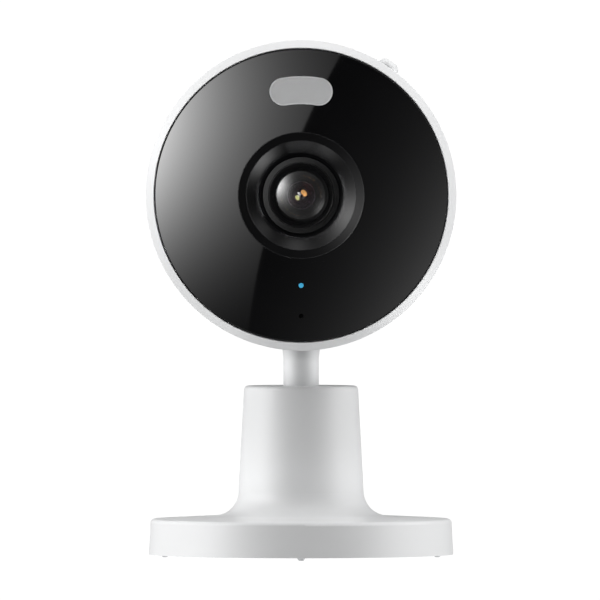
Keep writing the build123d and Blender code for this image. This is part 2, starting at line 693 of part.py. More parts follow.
# ====================================================================================================
# Lens: threaded barrel, glass elements, spacer and stop
# ====================================================================================================
with BuildPart() as lens_barrel:
    with BuildSketch(HEAD_SECTION):
        with BuildLine():
            Polyline(
                (BARREL_FRONT, BARREL_R - 0.15),
                (BARREL_FRONT + 0.15, BARREL_R),
                (BARREL_SHOULDER, BARREL_R),
                (BARREL_SHOULDER, THREAD_R),
                (BARREL_REAR, THREAD_R),
                (BARREL_REAR, 4.0),
                (-9.6, 4.0),
                (-9.6, 5.2),
                (-12.4, 5.2),
                (-12.4, 6.2),
                (BARREL_FRONT, 6.2),
                close=True,
            )
        make_face()
    revolve(axis=LENS_AXIS)
lens_barrel.part.label = "lens_barrel"
export_step(lens_barrel.part, "parts/lens_barrel.step")

with BuildPart() as lens_retainer:
    with BuildSketch(HEAD_SECTION):
        with BuildLine():
            Polyline(
                (-12.4, 6.15),
                (-13.9, 6.15),
                (-14.05, 6.0),
                (-13.85, GLASS_R),
                (-12.4, GLASS_R),
                close=True,
            )
        make_face()
    revolve(axis=LENS_AXIS)
lens_retainer.part.label = "lens_retainer"
export_step(lens_retainer.part, "parts/lens_retainer.step")


def lens_element(front, rear, edge, radius, front_pole, rear_pole):
    """Half section of a glass element: flat-edged disc whose faces bulge or dip to the two poles."""
    with BuildSketch(HEAD_SECTION) as section:
        with BuildLine():
            sag = abs(front - front_pole)
            ball = (edge**2 + sag**2) / (2 * sag)
            middle = front_pole + ball - sqrt(ball**2 - (edge / 2) ** 2)
            ThreePointArc((front_pole, 0), (middle, edge / 2), (front, edge))
            Polyline(
                (front, edge),
                (front, radius),
                (rear, radius),
                (rear, 0.9 * edge),
                (rear_pole, 0),
                (front_pole, 0),
            )
        make_face()
    return section.sketch


with BuildPart() as front_lens:
    revolve(lens_element(-13.7, -12.42, GLASS_R - 0.16, GLASS_R - 0.06, GLASS_POLE, -13.3), axis=LENS_AXIS)
front_lens.part.label = "front_lens"
export_step(front_lens.part, "parts/front_lens.step")

with BuildPart() as lens_spacers:
    with BuildSketch(HEAD_SECTION):
        with BuildLine():
            Polyline((-12.36, 5.15), (-12.36, 4.95), (-11.2, 2.86), (-9.65, 2.86), (-9.65, 5.15), close=True)
        make_face()
    revolve(axis=LENS_AXIS)
    with BuildSketch(facing_front(-7.6)):
        Circle(3.95)
        Circle(1.54, mode=Mode.SUBTRACT)
    extrude(amount=0.3)
lens_spacers.part.label = "lens_spacers"
export_step(lens_spacers.part, "parts/lens_spacers.step")

with BuildPart() as second_lens:
    revolve(lens_element(-9.0, -8.0, 3.9, 3.95, -9.55, -7.98), axis=LENS_AXIS)
second_lens.part.label = "second_lens"
export_step(second_lens.part, "parts/second_lens.step")

# ====================================================================================================
# Lens mount with the day-and-night filter
# ====================================================================================================
FILTER_FRONT = -4.4
FILTER_BACK = -3.2
CARRIAGE_MIDDLE = -FILTER_PITCH / 2
MOUNT_SCREWS = ((-14.2, 3.0), (14.2, 3.0))

with BuildPart() as lens_mount:
    with BuildSketch(facing_front(MAIN_BOARD_FRONT)):
        with Locations((0, -4.7)):
            RectangleRounded(24.8, 20.8, 1.5)
    extrude(amount=6.0)
    with BuildSketch(facing_front(-6.0)):
        Circle(8.2)
    extrude(amount=4.4)
    with BuildSketch(facing_front(MAIN_BOARD_FRONT)):
        with Locations(*MOUNT_SCREWS):
            SlotCenterToCenter(2.4, 4.4)
    extrude(amount=1.6)
    with BuildSketch(facing_front(MAIN_BOARD_FRONT)):
        with Locations((0, -1.1)):
            Rectangle(22.6, 10.4)
        with Locations((0, -9.7)):
            Rectangle(13.0, 9.0)
    extrude(amount=4.7, mode=Mode.SUBTRACT)
    with BuildSketch(facing_front(MAIN_BOARD_FRONT)):
        Circle(THREAD_R + 0.04)
    extrude(amount=11.0, mode=Mode.SUBTRACT)
    with BuildSketch(facing_front(MAIN_BOARD_FRONT)):
        with Locations(*MOUNT_SCREWS):
            Circle(0.9)
    extrude(amount=1.6, mode=Mode.SUBTRACT)
lens_mount.part.label = "lens_mount"
export_step(lens_mount.part, "parts/lens_mount.step")

with BuildPart() as filter_carriage:
    with BuildSketch(facing_front(FILTER_BACK)):
        with Locations((CARRIAGE_MIDDLE, 0)):
            RectangleRounded(FILTER_PITCH + FILTER_SIDE + 1.8, 8.0, 0.4)
        with Locations((CARRIAGE_MIDDLE, -6.4)):
            Rectangle(5.0, 5.2)
        with Locations((0, 0), (-FILTER_PITCH, 0)):
            Rectangle(FILTER_SIDE - 1.0, FILTER_SIDE - 1.0, mode=Mode.SUBTRACT)
    extrude(amount=FILTER_BACK - FILTER_FRONT)
    with BuildSketch(facing_front(FILTER_FRONT)):
        with Locations((0, 0), (-FILTER_PITCH, 0)):
            Rectangle(FILTER_SIDE, FILTER_SIDE)
    extrude(amount=-0.7, mode=Mode.SUBTRACT)
filter_carriage.part.label = "filter_carriage"
export_step(filter_carriage.part, "parts/filter_carriage.step")


def filter_glass(x):
    """One square filter glass in its pocket of the carriage."""
    with BuildPart() as glass:
        with BuildSketch(facing_front(FILTER_FRONT + 0.65)):
            with Locations((x, 0)):
                Rectangle(FILTER_SIDE - 0.1, FILTER_SIDE - 0.1)
        extrude(amount=0.5)
    return glass


day_filter = filter_glass(0)
day_filter.part.label = "day_filter"
export_step(day_filter.part, "parts/day_filter.step")
night_filter = filter_glass(-FILTER_PITCH)
night_filter.part.label = "night_filter"
export_step(night_filter.part, "parts/night_filter.step")

with BuildPart() as drive_magnet:
    with BuildSketch(facing_front(FILTER_BACK)):
        with Locations((CARRIAGE_MIDDLE, -7.0)):
            Rectangle(4.2, 3.4)
    extrude(amount=-1.2)
drive_magnet.part.label = "drive_magnet"
export_step(drive_magnet.part, "parts/drive_magnet.step")

with BuildPart() as filter_coils:
    with BuildSketch(facing_front(-0.6)):
        with Locations((-4.6, -COIL_DROP), (4.6, -COIL_DROP)):
            RectangleRounded(3.2, 4.0, 0.8)
    extrude(amount=2.2)
filter_coils.part.label = "filter_coils"
export_step(filter_coils.part, "parts/filter_coils.step")

with BuildPart() as image_sensor:
    with BuildSketch(facing_front(MAIN_BOARD_FRONT)):
        Rectangle(8.6, 7.4)
    extrude(amount=1.1)
    with BuildSketch(facing_front(-1.1)):
        Rectangle(6.6, 5.0)
    extrude(amount=-0.15, mode=Mode.SUBTRACT)
image_sensor.part.label = "image_sensor"
export_step(image_sensor.part, "parts/image_sensor.step")

# ====================================================================================================
# Front board: lamps, sensor, microphone
# ====================================================================================================
with BuildPart() as front_board:
    with BuildSketch(facing_front(FRONT_BOARD_BACK)):
        Circle(30.0)
        Circle(16.5, mode=Mode.SUBTRACT)
        with Locations(*on_ring(BOSS_RING_R, HEAD_SCREW_ANGLES)):
            Circle(BOSS_R + 0.1, mode=Mode.SUBTRACT)
    extrude(amount=FRONT_BOARD_BACK - FRONT_BOARD_FRONT)
front_board.part.label = "front_board"
export_step(front_board.part, "parts/front_board.step")

with BuildPart() as infrared_leds:
    with BuildSketch(facing_front(FRONT_BOARD_FRONT)):
        with Locations((-4.6, 22.4), (4.6, 22.4)):
            Rectangle(3.0, 3.0)
    extrude(amount=0.8)
    with Locations(facing_front(FRONT_BOARD_FRONT - 0.8)):
        with Locations((-4.6, 22.4), (4.6, 22.4)):
            Cone(1.25, 0.7, 0.7, align=(Align.CENTER, Align.CENTER, Align.MIN))
infrared_leds.part.label = "infrared_leds"
export_step(infrared_leds.part, "parts/infrared_leds.step")

with BuildPart() as white_led:
    with BuildSketch(facing_front(FRONT_BOARD_FRONT)):
        with Locations((0, WINDOW_ARC_R)):
            Rectangle(3.5, 2.8)
    extrude(amount=0.9)
white_led.part.label = "white_led"
export_step(white_led.part, "parts/white_led.step")

with BuildPart() as status_led:
    with BuildSketch(facing_front(FRONT_BOARD_FRONT)):
        with Locations((0, -LED_DROP)):
            Rectangle(1.6, 0.8)
    extrude(amount=0.6)
status_led.part.label = "status_led"
export_step(status_led.part, "parts/status_led.step")

with BuildPart() as microphone:
    with BuildSketch(facing_front(FRONT_BOARD_FRONT)):
        with Locations((0, -MIC_DROP)):
            Rectangle(3.5, 2.65)
    extrude(amount=1.0)
    with BuildSketch(facing_front(FRONT_BOARD_FRONT - 1.0)):
        with Locations((0, -MIC_DROP)):
            Circle(0.3)
    extrude(amount=-0.5, mode=Mode.SUBTRACT)
microphone.part.label = "microphone"
export_step(microphone.part, "parts/microphone.step")

# ====================================================================================================
# Main board and what stands on it
# ====================================================================================================
with BuildPart() as main_board:
    with BuildSketch(facing_front(MAIN_BOARD_BACK)):
        Circle(MAIN_BOARD_R)
        with Locations((0, MAIN_BOARD_CUT - 10)):
            Rectangle(2 * MAIN_BOARD_R, 20.0, mode=Mode.SUBTRACT)
        with Locations(*on_ring(BOSS_RING_R, HEAD_SCREW_ANGLES)):
            Circle(BOSS_SHOULDER_R + 0.4, mode=Mode.SUBTRACT)
        with Locations(*POSTS):
            Circle(1.1, mode=Mode.SUBTRACT)
        with Locations(*MOUNT_SCREWS):
            Circle(0.9, mode=Mode.SUBTRACT)
    extrude(amount=MAIN_BOARD_BACK - MAIN_BOARD_FRONT)
main_board.part.label = "main_board"
export_step(main_board.part, "parts/main_board.step")

with BuildPart() as board_screws:
    with BuildSketch(facing_front(MAIN_BOARD_FRONT)):
        with Locations(*POSTS):
            Circle(1.9)
    extrude(amount=1.2)
    with BuildSketch(facing_front(MAIN_BOARD_FRONT)):
        with Locations(*POSTS):
            Circle(0.78)
    extrude(amount=-6.0)
    with BuildSketch(facing_front(MAIN_BOARD_FRONT - 1.2)):
        with Locations(*POSTS):
            RegularPolygon(0.8, 6)
    extrude(amount=-0.7, mode=Mode.SUBTRACT)
    with BuildSketch(facing_front(-1.6)):
        with Locations(*MOUNT_SCREWS):
            Circle(1.5)
    extrude(amount=1.0)
    with BuildSketch(facing_front(-1.6)):
        with Locations(*MOUNT_SCREWS):
            Circle(0.85)
    extrude(amount=-3.8)
board_screws.part.label = "board_screws"
export_step(board_screws.part, "parts/board_screws.step")

with BuildPart() as main_chip:
    with BuildSketch(facing_front(MAIN_BOARD_BACK + 1.2)):
        Rectangle(12.0, 12.0)
    extrude(amount=1.2)
main_chip.part.label = "main_chip"
export_step(main_chip.part, "parts/main_chip.step")

with BuildPart() as shield_can:
    with BuildSketch(facing_front(MAIN_BOARD_BACK + 2.0)):
        RectangleRounded(18.0, 16.0, 0.8)
    extrude(amount=2.0)
    with BuildSketch(facing_front(MAIN_BOARD_BACK + 1.6)):
        Rectangle(17.2, 15.2)
    extrude(amount=1.6, mode=Mode.SUBTRACT)
shield_can.part.label = "shield_can"
export_step(shield_can.part, "parts/shield_can.step")

with BuildPart() as heat_sink:
    with BuildSketch(facing_front(MAIN_BOARD_BACK + 3.2)):
        Rectangle(24.0, 18.0)
    extrude(amount=1.2)
    with BuildSketch(facing_front(MAIN_BOARD_BACK + 6.0)):
        with GridLocations(3.8, 1, 7, 1):
            Rectangle(1.0, 18.0)
    extrude(amount=2.8)
heat_sink.part.label = "heat_sink"
export_step(heat_sink.part, "parts/heat_sink.step")

with BuildPart() as card_socket:
    with BuildSketch(card_plane(-28.0)):
        Rectangle(1.9, 12.8)
    extrude(amount=10.1)
    with BuildSketch(card_plane(-28.0)):
        Rectangle(1.1, 11.2)
    extrude(amount=9.4, mode=Mode.SUBTRACT)
card_socket.part.label = "card_socket"
export_step(card_socket.part, "parts/card_socket.step")

with BuildPart() as wifi_antenna:
    with BuildSketch(facing_front(6.0)):
        with BuildLine():
            CenterArc((0, 0), 31.6, 62, 56)
            offset(amount=0.25)
        make_face()
    extrude(amount=9.0)
wifi_antenna.part.label = "wifi_antenna"
export_step(wifi_antenna.part, "parts/wifi_antenna.step")

RIBBON_CENTRE = -3.0
with BuildPart() as ribbon_connectors:
    with Locations((24.5, FRONT_BOARD_BACK, HEAD_Z + RIBBON_CENTRE)):
        Box(3.0, 1.5, 7.4, align=(Align.CENTER, Align.MIN, Align.CENTER))
    with Locations((20.0, MAIN_BOARD_FRONT, HEAD_Z + RIBBON_CENTRE)):
        Box(3.0, 1.5, 7.4, align=(Align.CENTER, Align.MAX, Align.CENTER))
ribbon_connectors.part.label = "ribbon_connectors"
export_step(ribbon_connectors.part, "parts/ribbon_connectors.step")

with BuildPart() as ribbon_cable:
    with BuildSketch(Plane.XY.offset(HEAD_Z + RIBBON_CENTRE - 3.0)):
        with BuildLine():
            FilletPolyline((24.5, -9.9), (24.5, -7.4), (20.0, -4.0), (20.0, -1.5), radius=1.0)
        trace(line_width=0.3)
    extrude(amount=6.0)
ribbon_cable.part.label = "ribbon_cable"
export_step(ribbon_cable.part, "parts/ribbon_cable.step")

# ====================================================================================================
# Power board, speaker and side button
# ====================================================================================================
with BuildPart() as power_board:
    with BuildSketch(Plane.XY.offset(HEAD_Z + POWER_BOARD_TOP - 1.0)):
        with Locations((0, 10.6)):
            RectangleRounded(20.0, 10.0, 0.8)
    extrude(amount=1.0)
power_board.part.label = "power_board"
export_step(power_board.part, "parts/power_board.step")

with BuildPart() as usb_socket:
    with BuildSketch(facing_front(18.3)):
        with Locations((0, USB_CENTRE)):
            RectangleRounded(8.94, 3.26, 1.6)
    extrude(amount=7.3)
    with BuildSketch(facing_front(18.3)):
        with Locations((0, USB_CENTRE)):
            RectangleRounded(8.34, 2.6, 1.28)
            Rectangle(6.7, 0.7, mode=Mode.SUBTRACT)
    extrude(amount=6.2, mode=Mode.SUBTRACT)
    with BuildSketch(facing_front(18.3)):
        with Locations((0, USB_CENTRE)):
            Rectangle(6.7, 0.7)
    extrude(amount=0.8, mode=Mode.SUBTRACT)
usb_socket.part.label = "usb_socket"
export_step(usb_socket.part, "parts/usb_socket.step")

SPEAKER_AXIS = Axis((0, 0, HEAD_Z + SPEAKER_RISE), (0, 1, 0))
SPEAKER_SECTION = Plane(origin=(0, 0, HEAD_Z + SPEAKER_RISE), x_dir=(0, 1, 0), z_dir=(1, 0, 0))

with BuildPart() as speaker_gasket:
    with BuildSketch(facing_front(SPEAKER_SEAT_Y)):
        with Locations((0, SPEAKER_RISE)):
            Circle(SPEAKER_R)
            Circle(SPEAKER_R - 1.3, mode=Mode.SUBTRACT)
    extrude(amount=0.7)
speaker_gasket.part.label = "speaker_gasket"
export_step(speaker_gasket.part, "parts/speaker_gasket.step")

with BuildPart() as speaker_frame:
    with BuildSketch(SPEAKER_SECTION):
        with BuildLine():
            Polyline(
                (14.2, SPEAKER_R),
                (13.2, SPEAKER_R),
                (10.4, 7.2),
                (10.4, 4.6),
                (11.0, 4.6),
                (11.0, 6.8),
                (13.5, 8.8),
                (14.2, 8.8),
                close=True,
            )
        make_face()
    revolve(axis=SPEAKER_AXIS)
    with BuildSketch(facing_front(10.4)):
        with Locations((0, SPEAKER_RISE)):
            Circle(5.8)
    extrude(amount=2.5)
speaker_frame.part.label = "speaker_frame"
export_step(speaker_frame.part, "parts/speaker_frame.step")

with BuildPart() as speaker_cone:
    with BuildSketch(SPEAKER_SECTION):
        with BuildLine():
            Polyline((14.1, 8.7), (13.9, 8.7), (12.2, 4.0), (12.9, 0), (13.2, 0), (12.6, 4.0), close=True)
        make_face()
    revolve(axis=SPEAKER_AXIS)
speaker_cone.part.label = "speaker_cone"
export_step(speaker_cone.part, "parts/speaker_cone.step")

with BuildPart() as side_button:
    with BuildSketch(button_plane(31.0)):
        Circle(BUTTON_R)
    extrude(amount=HEAD_R + BUTTON_OUT - 31.0)
    rims = side_button.edges().filter_by(GeomType.CIRCLE)
    fillet(rims.sort_by_distance(button_plane(HEAD_R + 9).origin)[0], BUTTON_EDGE_R)
    with BuildSketch(button_plane(30.9)):
        Circle(3.1)
    extrude(amount=0.7)
    with BuildSketch(button_plane(29.3)):
        Circle(1.2)
    extrude(amount=1.7)
side_button.part.label = "side_button"
export_step(side_button.part, "parts/side_button.step")

with BuildPart() as switch_plunger:
    with BuildSketch(button_plane(27.4)):
        Circle(1.0)
    extrude(amount=1.9)
switch_plunger.part.label = "switch_plunger"
export_step(switch_plunger.part, "parts/switch_plunger.step")

with BuildPart() as tact_switch:
    with BuildSketch(button_plane(24.8)):
        Rectangle(7.0, 6.2)
    extrude(amount=3.5)
    with BuildSketch(button_plane(26.7)):
        Circle(1.1)
    extrude(amount=1.6, mode=Mode.SUBTRACT)
tact_switch.part.label = "tact_switch"
export_step(tact_switch.part, "parts/tact_switch.step")
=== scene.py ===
"""Looks of the indoor security camera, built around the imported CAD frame.

Metres, +Z up, and the lens looks along -Y.
"""

import json
import math

import bmesh
import bpy
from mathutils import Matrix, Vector


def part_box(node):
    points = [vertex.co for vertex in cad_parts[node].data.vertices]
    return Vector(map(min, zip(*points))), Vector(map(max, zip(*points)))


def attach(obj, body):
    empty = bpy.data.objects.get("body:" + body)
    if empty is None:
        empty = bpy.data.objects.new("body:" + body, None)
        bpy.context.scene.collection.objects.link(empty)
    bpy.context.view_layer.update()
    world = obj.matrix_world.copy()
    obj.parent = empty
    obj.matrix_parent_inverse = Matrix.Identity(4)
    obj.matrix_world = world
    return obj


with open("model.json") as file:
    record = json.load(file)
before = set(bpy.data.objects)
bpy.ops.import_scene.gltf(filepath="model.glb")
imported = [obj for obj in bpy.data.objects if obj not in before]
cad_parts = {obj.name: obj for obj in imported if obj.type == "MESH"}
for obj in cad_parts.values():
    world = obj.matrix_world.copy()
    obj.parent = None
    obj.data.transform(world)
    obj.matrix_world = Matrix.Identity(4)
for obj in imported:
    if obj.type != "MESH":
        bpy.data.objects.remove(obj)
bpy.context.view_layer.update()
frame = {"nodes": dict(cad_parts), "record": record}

NODES = frame["nodes"]
MM = 0.001
TURN = 2 * math.pi


# ---- places worked out from the frame ------------------------------------------------------------
RING_LOW, RING_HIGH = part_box("front_ring")
LENS_Z = (RING_LOW.z + RING_HIGH.z) / 2
HEAD_R = (RING_HIGH.x - RING_LOW.x) / 2
FRONT_Y = RING_LOW.y
FACE_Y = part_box("face_cover")[0].y

WINDOW_LOW, WINDOW_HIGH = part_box("light_window")
WINDOW_FLANGE = 1.2 * MM  # the window's hidden rim behind the face
WINDOW_HALF_HEIGHT = 3.13 * MM
WINDOW_MIDDLE_R = WINDOW_HIGH.z - LENS_Z - WINDOW_FLANGE - WINDOW_HALF_HEIGHT
WINDOW_HALF_TURN = math.asin((WINDOW_HIGH.x - WINDOW_FLANGE - WINDOW_HALF_HEIGHT) / WINDOW_MIDDLE_R)

BEZEL_FLANGE = 1.76 * MM  # the bezel's hidden rim behind the face
BEZEL_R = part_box("lens_bezel")[1].z - LENS_Z - BEZEL_FLANGE
CONE_INSET = 1.84 * MM  # width of the bezel's flat front rim
CONE_DEPTH = 0.88 * MM
BARREL_LOW, BARREL_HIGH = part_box("lens_barrel")
BARREL_R = BARREL_HIGH.z - LENS_Z
GLASS_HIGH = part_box("front_lens")[1]
GLASS_R = GLASS_HIGH.z - LENS_Z


# ---- node helpers -------------------------------------------------------------------------------
class Tree:
    """A node tree with short calls to add and link nodes."""

    def __init__(self, tree):
        self.tree = tree

    def add(self, kind, **values):
        node = self.tree.nodes.new(kind)
        for key, value in values.items():
            setattr(node, key, value)
        return node

    def link(self, source, target):
        self.tree.links.new(source, target)

    def math(self, operation, first, second=None):
        """Math node; each side is a number or a socket."""
        node = self.add("ShaderNodeMath", operation=operation)
        for socket, value in zip(node.inputs, (first, second)):
            if value is None:
                continue
            if isinstance(value, (int, float)):
                socket.default_value = value
            else:
                self.link(value, socket)
        return node.outputs["Value"]


class Finish(Tree):
    """A material's node tree, with the patterns that the finishes share."""

    def __init__(self, name):
        self.material = bpy.data.materials.new(name)
        self.material.use_nodes = True
        super().__init__(self.material.node_tree)
        self.shader = self.tree.nodes["Principled BSDF"]
        self.place = self.add("ShaderNodeTexCoord").outputs["Object"]

    def set(self, **values):
        """Sets the shader's own sockets: words are joined by an underscore."""
        for key, value in values.items():
            self.shader.inputs[key.replace("_", " ")].default_value = value

    def noise(self, scale, detail=4.0, roughness=0.55, stretch=None):
        """Noise in object space; scale is waves per metre."""
        source = self.place
        if stretch:
            mapping = self.add("ShaderNodeMapping")
            mapping.inputs["Scale"].default_value = stretch
            self.link(source, mapping.inputs["Vector"])
            source = mapping.outputs["Vector"]
        node = self.add("ShaderNodeTexNoise")
        node.inputs["Scale"].default_value = scale
        node.inputs["Detail"].default_value = detail
        node.inputs["Roughness"].default_value = roughness
        self.link(source, node.inputs["Vector"])
        return node.outputs["Fac"]

    def colours(self, factor, dark, light, start=0.3, end=0.7):
        """Base colour that runs from dark to light while the factor runs from start to end."""
        node = self.add("ShaderNodeValToRGB")
        for element, place, colour in zip(node.color_ramp.elements, (start, end), (dark, light)):
            element.position = place
            element.color = (*colour, 1.0)
        self.link(factor, node.inputs["Fac"])
        self.link(node.outputs["Color"], self.shader.inputs["Base Color"])

    def gloss(self, factor, low, high):
        """Roughness that runs from low to high while the factor runs from 0 to 1."""
        node = self.add("ShaderNodeMapRange")
        node.inputs["To Min"].default_value = low
        node.inputs["To Max"].default_value = high
        self.link(factor, node.inputs["Value"])
        self.link(node.outputs["Result"], self.shader.inputs["Roughness"])

    def bump(self, height, strength, distance):
        """Bump from a height socket; distance in metres."""
        node = self.add("ShaderNodeBump")
        node.inputs["Strength"].default_value = strength
        node.inputs["Distance"].default_value = distance
        self.link(height, node.inputs["Height"])
        self.link(node.outputs["Normal"], self.shader.inputs["Normal"])

    def radius_about_lens(self):
        """Distance of a point from the lens axis, in metres."""
        split = self.add("ShaderNodeSeparateXYZ")
        self.link(self.place, split.inputs["Vector"])
        height = self.math("SUBTRACT", split.outputs["Z"], LENS_Z)
        across_squared = self.math("POWER", split.outputs["X"], 2.0)
        return self.math("SQRT", self.math("ADD", across_squared, self.math("POWER", height, 2.0)))


def dye(colour, amount):
    """The colour a little darker and a little lighter, for mottling."""
    return tuple(c * (1 - amount) for c in colour), tuple(min(c * (1 + amount), 1.0) for c in colour)


# ---- materials ----------------------------------------------------------------------------------
def moulded(name, colour, roughness, grain=3500.0, grain_depth=0.02 * MM, coat=0.0):
    """Injection-moulded plastic: faint mottling, a fine spark-eroded grain and slightly uneven gloss."""
    n = Finish(name)
    n.colours(n.noise(55.0), *dye(colour, 0.012))
    n.gloss(n.noise(420.0, detail=6.0), roughness - 0.04, roughness + 0.05)
    n.bump(n.noise(grain, detail=2.0), 0.25, grain_depth)
    n.set(IOR=1.5, Coat_Weight=coat, Coat_Roughness=0.12)
    return n.material


def gloss_black(name):
    """Polished black sheet: almost flat, with the faintest haze and a few dust-soft patches."""
    n = Finish(name)
    n.colours(n.noise(40.0), (0.0035, 0.0035, 0.004), (0.005, 0.005, 0.0055), start=0.35)
    n.gloss(n.noise(160.0, detail=6.0), 0.015, 0.03)
    n.bump(n.noise(30.0, detail=1.0), 0.02, 0.02 * MM)
    n.set(IOR=1.5)
    return n.material


def smooth_black(name, colour, roughness, gleam=0.35):
    """Smooth black moulding: faint mottling and an uneven satin gloss; gleam scales how much it mirrors."""
    n = Finish(name)
    n.colours(n.noise(260.0), *dye(colour, 0.12))
    n.gloss(n.noise(500.0, detail=5.0), roughness - 0.03, roughness + 0.04)
    n.bump(n.noise(4000.0, detail=2.0), 0.1, 0.004 * MM)
    n.set(IOR=1.5, Specular_IOR_Level=gleam)
    return n.material


def turned_black(name, colour, roughness, ring_pitch, gleam):
    """Black part with fine turned or moulded rings about the lens axis."""
    n = Finish(name)
    n.colours(n.noise(600.0), *dye(colour, 0.15), start=0.35, end=0.65)
    n.gloss(n.noise(900.0, detail=5.0), roughness - 0.04, roughness + 0.06)
    wave = n.math("SINE", n.math("MULTIPLY", n.radius_about_lens(), TURN / ring_pitch))
    n.bump(wave, 0.4, 0.01 * MM)
    n.set(IOR=1.5, Specular_IOR_Level=gleam)
    return n.material


def metal(name, colour, roughness, stretch=(1.0, 1.0, 14.0)):
    """Metal with fine drawn scratches; the noise is squeezed across them by stretch."""
    n = Finish(name)
    scratches = n.noise(700.0, detail=5.0, roughness=0.6, stretch=stretch)
    n.colours(scratches, *dye(colour, 0.08))
    n.gloss(scratches, roughness - 0.06, roughness + 0.08)
    n.bump(scratches, 0.2, 0.01 * MM)
    n.set(Metallic=1.0)
    return n.material


def rubber(name, colour):
    """Soft rubber: dull, with a fine pebble grain."""
    n = Finish(name)
    n.colours(n.noise(300.0), *dye(colour, 0.06))
    n.gloss(n.noise(900.0), 0.62, 0.8)
    n.bump(n.noise(5200.0, detail=2.0), 0.35, 0.03 * MM)
    n.set(IOR=1.45)
    return n.material


def frosted(name):
    """Light grey frosted window that spreads the lamps' light."""
    n = Finish(name)
    n.colours(n.noise(90.0), (0.60, 0.605, 0.61), (0.65, 0.655, 0.66))
    n.gloss(n.noise(1500.0), 0.3, 0.42)
    n.bump(n.noise(6000.0, detail=2.0), 0.2, 0.01 * MM)
    n.set(IOR=1.49)
    return n.material


def status_glow(name):
    """Clear light pipe with a weak cyan-blue glow."""
    n = Finish(name)
    n.colours(n.noise(900.0), (0.05, 0.42, 0.75), (0.09, 0.55, 0.85), start=0.2, end=0.8)
    n.gloss(n.noise(2000.0), 0.2, 0.3)
    n.set(Emission_Color=(0.07, 0.55, 0.87, 1.0), Emission_Strength=0.2)
    return n.material


COAT_START_R = 1.4 * MM
COAT_FULL_R = 3.6 * MM


def coated_glass(name, film, tint, weight, mirror=0.0):
    """Lens glass with an anti-reflection film of that many nanometres, which colours what it mirrors.

    With mirror above 0, a clear coat also mirrors the room, fully outside COAT_FULL_R.
    """
    n = Finish(name)
    n.colours(n.noise(200.0), tint, (1.0, 1.0, 1.0))
    n.gloss(n.noise(400.0), 0.01, 0.03)
    n.set(IOR=1.6, Transmission_Weight=weight, Thin_Film_Thickness=film, Thin_Film_IOR=1.38)
    if mirror:
        coat = n.add("ShaderNodeMapRange", interpolation_type="SMOOTHSTEP")
        coat.inputs["From Min"].default_value = COAT_START_R
        coat.inputs["From Max"].default_value = COAT_FULL_R
        coat.inputs["To Max"].default_value = mirror
        n.link(n.radius_about_lens(), coat.inputs["Value"])
        n.link(coat.outputs["Result"], n.shader.inputs["Coat Weight"])
        n.set(Coat_IOR=2.0, Coat_Roughness=0.02, Specular_IOR_Level=0.2)
    return n.material


def circuit_board(name):
    """Green solder mask with faint copper tracks under it."""
    n = Finish(name)
    tracks = n.add("ShaderNodeTexBrick")
    tracks.inputs["Scale"].default_value = 420.0
    tracks.inputs["Mortar Size"].default_value = 0.02
    tracks.inputs["Color1"].default_value = (0.012, 0.075, 0.035, 1.0)
    tracks.inputs["Color2"].default_value = (0.014, 0.085, 0.04, 1.0)
    tracks.inputs["Mortar"].default_value = (0.03, 0.16, 0.07, 1.0)
    upright = n.add("ShaderNodeMapping")
    upright.inputs["Rotation"].default_value = (TURN / 4, 0.0, 0.0)
    n.link(n.place, upright.inputs["Vector"])
    n.link(upright.outputs["Vector"], tracks.inputs["Vector"])
    n.link(tracks.outputs["Color"], n.shader.inputs["Base Color"])
    n.gloss(n.noise(500.0), 0.28, 0.4)
    n.bump(tracks.outputs["Fac"], 0.15, 0.02 * MM)
    n.set(IOR=1.5)
    return n.material


